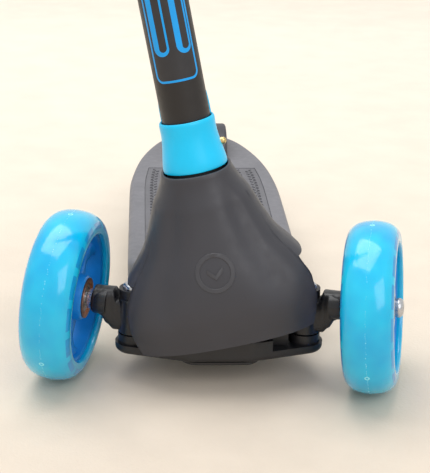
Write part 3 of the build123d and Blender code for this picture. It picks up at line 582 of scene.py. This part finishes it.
# ---- Steering head -------------------------------------------------------------------------
# Black nylon moulding inside the cover: a pivot barrel, a socket for the column, and the tongue
# that moves the tie bar. Nylon bushes line the barrel.
dress(base_black, "black_plastic", "steering_head")
nylon = finish("bush_nylon", tone(214, 208, 190), (0.4, 0.55), 0.6, 0.02, 0.05, 5)
dress(nylon, "nylon", "lean_bushes")

# ---- Nose cover ----------------------------------------------------------------------------
# Dark grey moulded shell over the steering head: a bell with a soft ridge down its front,
# shallow valleys beside it, full shoulders, and a lower edge cut up over the knuckle arms.
cover_grey = finish("cover_grey", tone(54, 54, 60), (0.4, 0.52), 0.45, 0.03, 0.06, 26)
front_axle, ground = -235.0, -60.0
# Height over the floor, half width, front, rear and widest line of each level.
cover_levels = [
    (38, 66.0, -31, 54, -2), (50, 69.5, -33, 55, -2), (62, 70.5, -34, 56, 0),
    (76, 67.5, -32, 56, 2), (90, 58.0, -28, 54, 6), (103, 47.5, -23, 51, 9),
    (118, 40.0, -18, 47, 13), (133, 34.0, -13, 45, 16), (143, 28.0, -8.5, 44, 18),
    (153.0, 24.2, -6.0, 42.6, 18.3),
]
neck_top = cover_levels[-1][0]
lean_at = Vector(joint["lean"]["pos_m"])
column_up = Vector(joint["bar_height"]["axis"])
column_right = -Vector(joint["button_press"]["axis"])
lean_turn = -math.atan2(column_right.z, column_right.x)
leaned = (Matrix.Translation(lean_at) @ Matrix.Rotation(lean_turn, 4, "Y")
          @ Matrix.Translation(-lean_at))


def eased(value, low, high):
    t = min(max((value - low) / (high - low), 0.0), 1.0)
    return t * t * (3 - 2 * t)


def cover_level(height):
    """Half width, front, rear and widest line at this height over the floor."""
    found = 0
    while found < len(cover_levels) - 2 and cover_levels[found + 1][0] < height:
        found += 1
    rows = [cover_levels[min(max(found + k, 0), len(cover_levels) - 1)] for k in (-1, 0, 1, 2)]
    t = (height - rows[1][0]) / (rows[2][0] - rows[1][0])
    made = []
    for a, b, c, d in zip(*[row[1:] for row in rows]):
        made.append(0.5 * (2 * b + (c - a) * t + (2 * a - 5 * b + 4 * c - d) * t * t
                           + (3 * b - 3 * c + d - a) * t ** 3))
    return made


def cover_point(turn, height, inset=0.0):
    """Point on the cover's outside, upright, at this angle round it and height over the floor."""
    half, ahead, rear, widest = cover_level(height)
    c, s = math.cos(turn), math.sin(turn)
    x = (half - inset) * math.copysign(abs(c) ** (2 / 2.4), c)
    depth = (rear - widest if s > 0 else widest - ahead) - inset
    y = widest + depth * math.copysign(abs(s) ** (2 / 2.4), s)
    if s < 0:
        body = eased(height, 52, 84) * (1 - eased(height, 128, 146))
        valley = math.exp(-((abs(x) - half * 0.60) / (half * 0.17)) ** 2)
        y += body * valley * 3.4 * abs(s)
    return Vector((x, front_axle + y, ground + height))


def cover_foot(turn):
    """Height of the lower edge over the floor at this angle."""
    s = math.sin(turn)
    return 38.0 + 48.0 * eased(s, -0.46, -0.36) if s < 0 else 86.0


around, up = 240, 46
outer, inner = [], []
for level in range(up + 1):
    share = level / up
    rows = [[], []]
    for k in range(around):
        turn = 2 * math.pi * (k + 0.5) / around
        foot = cover_foot(turn)
        height = foot + (neck_top - foot) * share
        rows[0].append(cover_point(turn, height))
        rows[1].append(cover_point(turn, height, 2.6))
    outer.append(rows[0])
    inner.append(rows[1])
rim_low = [(a * 0.5 + b * 0.5) - Vector((0, 0, 0.5)) for a, b in zip(outer[0], inner[0])]
neck_lip = ((0.4, 0.4), (1.0, 0.6), (1.7, 0.6), (2.1, 0.2), (2.2, -2))   # inset and rise
neck = [[cover_point(2 * math.pi * (k + 0.5) / around, neck_top, inset) + Vector((0, 0, rise))
         for k in range(around)] for inset, rise in neck_lip]
shell = loft([rim_low] + outer + neck + inner[::-1][2:], ring=True)
cover = piece("nose_cover_shell", shell, leaned, "steering_head", "cover_plastic", cover_grey,
              "nose_cover", crease=50)
dress(zinc, "zinc_steel", "cover_screws")


# ---- Badge ---------------------------------------------------------------------------------
# A plain ring and chevron embossed on the front of the cover, in the cover's own plastic.
bpy.context.view_layer.update()
cover_tree = BVHTree.FromObject(cover, bpy.context.evaluated_depsgraph_get())
badge_low, badge_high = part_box("cover_badge")
badge_middle = (badge_low + badge_high) / 2
badge_turn = Matrix.Rotation(lean_turn, 3, "Y")
badge_x, badge_z = badge_turn @ Vector((1, 0, 0)), badge_turn @ Vector((0, 0.3, 0.954))
badge_grey = finish("badge_grey", tone(62, 62, 67), (0.34, 0.46), 0.4, 0.02, 0.05, 9)


def on_cover(x, y, lift):
    """Point of the badge's face dropped on the cover, this far above its skin."""
    start = badge_middle + (badge_x * x + badge_z * y) * mm + Vector((0, -0.05, 0))
    hit, normal, _, _ = cover_tree.ray_cast(start, Vector((0, 1, 0)))
    return (hit + normal * lift * mm) / mm


def embossed(outlines, heights):
    """Raised mark: each outline is laid on the cover, from its foot to its top."""
    return loft([[on_cover(x, y, h) for x, y in line] for line, h in zip(outlines, heights)])


def badge_ring(outer_r, inner_r, height):
    sections = []
    for k in range(72):
        c, s = math.cos(2 * math.pi * k / 72), math.sin(2 * math.pi * k / 72)
        profile = ((outer_r, -0.4), (outer_r - 0.15, height * 0.6), (outer_r - 0.5, height),
                   (inner_r + 0.5, height), (inner_r + 0.15, height * 0.6), (inner_r, -0.4))
        sections.append([on_cover(r * c, r * s, h) for r, h in profile])
    return loft(sections, ring=True)


def chevron(scale):
    corners = [(-5.6, 3.6), (0, -1.6), (5.6, 3.6), (5.6, 0.2), (0, -5.0), (-5.6, 0.2)]
    middle = (0, -0.4)
    return [(middle[0] + (x - middle[0]) * scale, middle[1] + (y - middle[1]) * scale) for x, y in corners]


mark = join(badge_ring(13.6, 10.2, 0.55),
            embossed([chevron(1.0), chevron(0.97), chevron(0.86)], [-0.4, 0.35, 0.55]))
piece("badge_mark", mark, Matrix.Identity(4), "steering_head", "badge_plastic", badge_grey,
      "cover_badge", crease=30)


# ---- Collar --------------------------------------------------------------------------------
# Cyan moulded collar that closes the cover's neck round the column: flared foot, slim waist,
# rolled lip, and a broad tongue wrapped round the back of the tube above it.
column_zero = 14.0   # heights along the column count from here


def column_frame():
    back = column_up.cross(column_right)
    at = leaned @ Vector((0, lean_at.y, column_zero * mm))
    return Matrix(((column_right.x, back.x, column_up.x, at.x), (column_right.y, back.y, column_up.y, at.y),
                   (column_right.z, back.z, column_up.z, at.z), (0, 0, 0, 1)))


def upright_ring(section, steps=96):
    """Closed section of (radius, height) points spun about Z."""
    turns = [2 * math.pi * k / steps for k in range(steps)]
    return loft([[(r * math.cos(t), r * math.sin(t), z) for r, z in section] for t in turns], ring=True)


on_column = column_frame()
tube_r, collar_foot, collar_lip = 16.6, 79.6, 113.9
collar_cyan = finish("collar_cyan", tone(0, 200, 250), (0.3, 0.4), 0.5, 0.02, 0.03, 20)
foot, lip = collar_foot, collar_lip
collar_section = [
    (17.0, foot + 0.4), (17.6, foot), (21.4, foot), (21.95, foot + 0.3), (22.15, foot + 1.0),
    (22.15, foot + 3), (21.8, foot + 6), (21.1, foot + 10), (20.3, foot + 14.5), (19.6, foot + 19),
    (19.15, foot + 23), (19.0, foot + 27), (19.1, foot + 30), (19.15, lip - 2.6), (19.05, lip - 1.3),
    (18.7, lip - 0.45), (18.1, lip), (17.5, lip - 0.15), (17.05, lip - 0.8), (16.85, lip - 2)]
tongue_rows = []
for z, half in ((4.0, 20.0), (34.0, 20.0), (42.0, 19.8), (48.0, 19.0), (52.5, 17.2), (55.8, 14.6),
                (58.2, 11.0), (59.7, 6.4), (60.3, 2.0)):
    wall = 2.5 if z < 56 else 2.0
    arc = [half / 18 * (2 * j / 12 - 1) for j in range(13)]
    outer_r, inner_r = tube_r + 0.35 + wall, tube_r + 0.35
    outside = [(outer_r * math.sin(a), outer_r * math.cos(a), foot + z) for a in arc]
    inside = [(inner_r * math.sin(a), inner_r * math.cos(a), foot + z) for a in reversed(arc)]
    tongue_rows.append(outside + inside)
collar_shape = join(upright_ring(collar_section), loft(tongue_rows))
soften(piece("collar_sleeve", collar_shape, on_column, "steering_head", "cyan_plastic", collar_cyan,
             "collar", crease=40), 0.5)

# ---- Column lower tube ---------------------------------------------------------------------
# Aluminium tube in satin black powder coat, with a thin printed panel wrapped on its front: dark
# field, azure border, and two long open loops with one thick and one thin leg.
tube_black = finish("tube_black", tone(33, 30, 29), (0.36, 0.5), 0.35, 0.025, 0.08, 12)
dress(tube_black, "black_metal", "lower_tube")
panel_charcoal = finish("panel_charcoal", tone(44, 44, 47), (0.34, 0.44), 0.8, 0.01, 0.08, 8)
print_azure = finish("print_azure", tone(0, 160, 240), (0.3, 0.42), 0.8, 0.01, 0.04, 8)


def on_tube(across, height, lift):
    """Point on the tube's skin, this far round it from the front."""
    r = tube_r + lift
    return (r * math.sin(across / tube_r), -r * math.cos(across / tube_r), height)


def ribbon(path, widths, lift):
    """Printed line along a path of (across, height) points, with a width at each point."""
    sections = []
    for k, (across, height) in enumerate(path):
        a, b = path[max(k - 1, 0)], path[min(k + 1, len(path) - 1)]
        run = Vector((b[0] - a[0], b[1] - a[1])).normalized()
        side = Vector((-run.y, run.x)) * widths[k] / 2
        strip = [(across + side.x * t, height + side.y * t) for t in (1, 0.5, 0, -0.5, -1)]
        sections.append([on_tube(*p, lift) for p in strip] + [on_tube(*p, 0.01) for p in reversed(strip)])
    return loft(sections)


def open_loop(left, right, low, high, thick, thin):
    """Long U with a thick left leg and a thin right one."""
    middle, half = (left + right) / 2, (right - left) / 2
    steps = 14
    path = [(left, high - (high - low - half) * k / steps) for k in range(steps)]
    widths = [thick] * steps
    for k in range(steps + 1):
        turn = math.pi * k / steps
        path.append((middle - half * math.cos(turn), low + half - half * math.sin(turn)))
        widths.append(thick + (thin - thick) * k / steps)
    path += [(right, low + half + (high - low - half) * k / steps) for k in range(1, steps + 1)]
    return ribbon(path, widths + [thin] * steps, 0.1)


panel_low, panel_high, panel_half = 142.5, 292.0, 15.4
corner = 5.0
border = []
for k in range(17):
    turn = math.pi / 2 * k / 16
    border.append((-panel_half + corner - corner * math.cos(turn),
                   panel_low + corner - corner * math.sin(turn)))
base = [((corner - panel_half) * (1 - k / 8), panel_low) for k in range(1, 16)]
border += base + [(-x, y) for x, y in reversed(border)]
tall = [(border[0][0], panel_high - (panel_high - border[0][1]) * k / 24) for k in range(24)]
border_path = tall + border + [(-x, y) for x, y in reversed(tall)]
panel_rows = []
for k in range(29):
    height = panel_low + 0.4 + (panel_high - panel_low - 0.4) * k / 28
    rise = max(corner - (height - panel_low), 0.0)
    half = panel_half - corner + math.sqrt(max(corner ** 2 - rise ** 2, 0.0))
    arc = [half * (2 * j / 24 - 1) for j in range(25)]
    panel_rows.append([on_tube(a, height, 0.05) for a in arc]
                      + [on_tube(a, height, 0.005) for a in reversed(arc)])
piece("column_panel", loft(panel_rows), on_column, "steering_head", "black_metal", panel_charcoal, crease=60)
lines = join(ribbon(border_path, [1.5] * len(border_path), 0.1),
             ribbon([(panel_half * k / 10, panel_high) for k in range(-10, 11)], [1.5] * 21, 0.1),
             open_loop(-10.8, -2.6, 161, 283, 4.2, 1.4), open_loop(5.2, 13.2, 161, 283, 4.2, 1.4))
piece("column_print", lines, on_column, "steering_head", "cyan_plastic", print_azure, crease=60)

# ---- Snap button ---------------------------------------------------------------------------
# Brass button with a domed end, pushed out through tube and collar by a folded leaf of spring
# steel. Pressing it frees the column.
brass = finish("button_brass", tone(214, 190, 130), (0.18, 0.3), 0.8, 0.01, 0.06, 3, metallic=1.0)
dress(brass, "brass", "snap_button")
dress(zinc, "zinc_steel", "button_spring")

# ---- Height clamp --------------------------------------------------------------------------
# Split cyan band round the tube's top, drawn tight by a cam lever in black nylon on a steel
# draw bolt.
dress(collar_cyan, "cyan_plastic", "clamp_band")
dress(base_black, "black_plastic", "clamp_lever")
dress(zinc, "zinc_steel", "clamp_bolt", "clamp_nut")

# ---- T-bar ---------------------------------------------------------------------------------
# Black upper tube that slides in the lower one, a cyan moulded tee on top, and the crossbar
# through it.
dress(tube_black, "black_metal", "upper_tube", "crossbar")
dress(collar_cyan, "cyan_plastic", "tee_joint", "bar_plugs")

# ---- Grips ---------------------------------------------------------------------------------
# Soft black rubber sleeves pushed on the crossbar, ribbed along their length, with a wide
# safety flange at the outer end.
grip_black = finish("grip_black", tone(30, 30, 31), (0.62, 0.82), 0.7, 0.07, 0.1, 7)
dress(grip_black, "grip_black", "grip_left", "grip_right")

# ---- Rear wheel ----------------------------------------------------------------------------
# The same clear cyan tyre and blue core at a smaller size, on an 8 mm axle through the deck's
# two ears.
dress(core_blue, "core_blue", "rear_hub")
dress(race_steel, "zinc_steel", "rear_bearings")
dress(zinc, "zinc_steel", "rear_axle", "rear_axle_nut", "rear_spacers")
dress(tyre_cyan, "rear_tyre_clear", "rear_tyre")

# ---- Rear brake ----------------------------------------------------------------------------
# Curved grey mudguard over the rear wheel, hinged on a steel pin with a close-wound spring. A
# heel pressed on it rubs the tyre and slows the scooter.
dress(cover_grey, "cover_plastic", "brake_fender")
dress(zinc, "zinc_steel", "brake_pin", "brake_spring")
